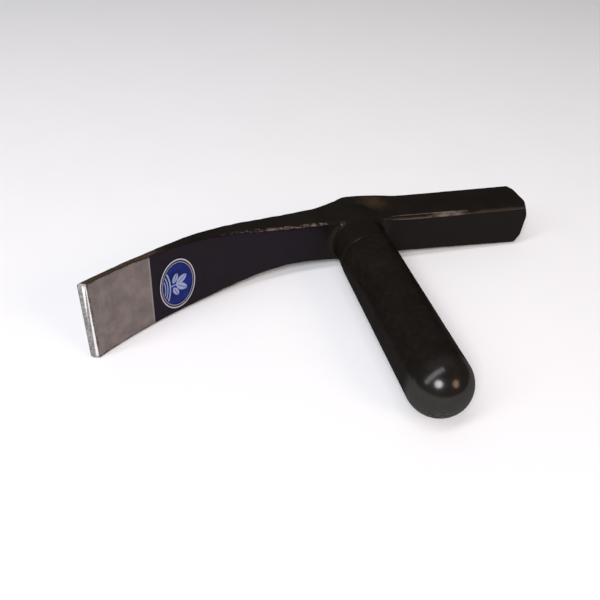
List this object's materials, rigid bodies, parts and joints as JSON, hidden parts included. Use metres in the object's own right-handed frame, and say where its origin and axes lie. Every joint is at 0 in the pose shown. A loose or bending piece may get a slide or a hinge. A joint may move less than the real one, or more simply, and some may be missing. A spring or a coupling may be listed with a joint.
{
  "type": "grub hoe",
  "caption": "Short-handled forged grub hoe: a curved, spreading blade with a ground edge, a square poll with chamfered edges, and a domed black grip.",
  "frame": {"origin": "middle of the grip, on the handle's axis", "axes": "+X along the head towards the poll, +Y along the handle towards the head, +Z along the blade's width; the tool lies on its side"},
  "size_m": [0.3012, 0.1817, 0.0536],
  "materials": {
    "head": "thin black lacquer over forged steel, worn bright along its edges and ground bare at the cutting end",
    "tube": "drawn steel tube",
    "eye_plug": "steel plug under the same black lacquer",
    "weld": "rippled weld under the same black lacquer",
    "grip": "smooth black moulded vinyl with a soft sheen",
    "end_plug": "moulded plastic",
    "label": "printed foil, blue with a silver rim"
  },
  "bodies": {
    "root": {"head": "head", "handle_tube": "tube", "eye_plug": "eye_plug", "eye_weld": "weld", "grip": "grip", "tube_end_plug": "end_plug", "label": "label"}
  },
  "joints": []
}
